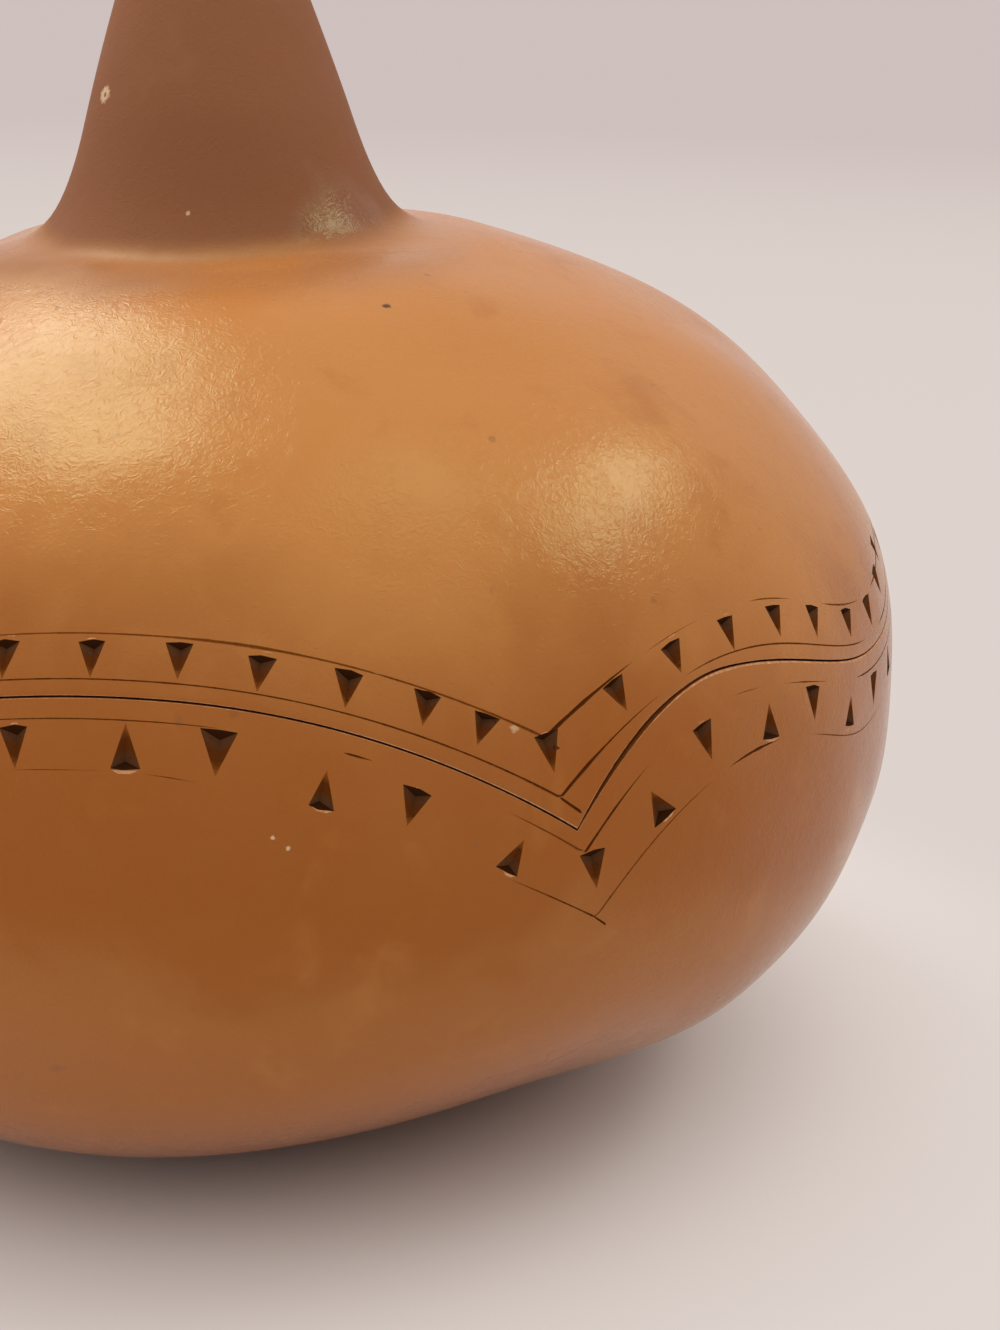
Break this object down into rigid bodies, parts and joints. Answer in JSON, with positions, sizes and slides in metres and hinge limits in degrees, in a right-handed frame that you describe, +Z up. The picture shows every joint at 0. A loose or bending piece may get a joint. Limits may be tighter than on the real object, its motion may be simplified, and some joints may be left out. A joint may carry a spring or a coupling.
{
  "type": "lidded gourd box",
  "caption": "Carved dried gourd container: a hollow bowl and a lid parted by a wavy saw cut with a V key, the lid keeping the gourd's neck and stem as its handle.",
  "frame": {"origin": "on the floor, in the flat foot, under the middle of the gourd's widest line", "axes": "+Z up, -Y the front, +X to the right of the front; the gourd leans 3.2 degrees towards -X"},
  "size_m": [0.2199, 0.22, 0.224],
  "materials": {
    "gourd_skin": "waxed",
    "stem_wood": "rough"
  },
  "bodies": {
    "bowl": {"bowl": "gourd_skin"},
    "lid": {"lid": "gourd_skin", "stem": "stem_wood"}
  },
  "joints": [
    {"name": "lid_lift", "type": "slide", "parent": "bowl", "child": "lid", "axis": [0, 0, 1], "range_m": [0, 0.12]}
  ]
}
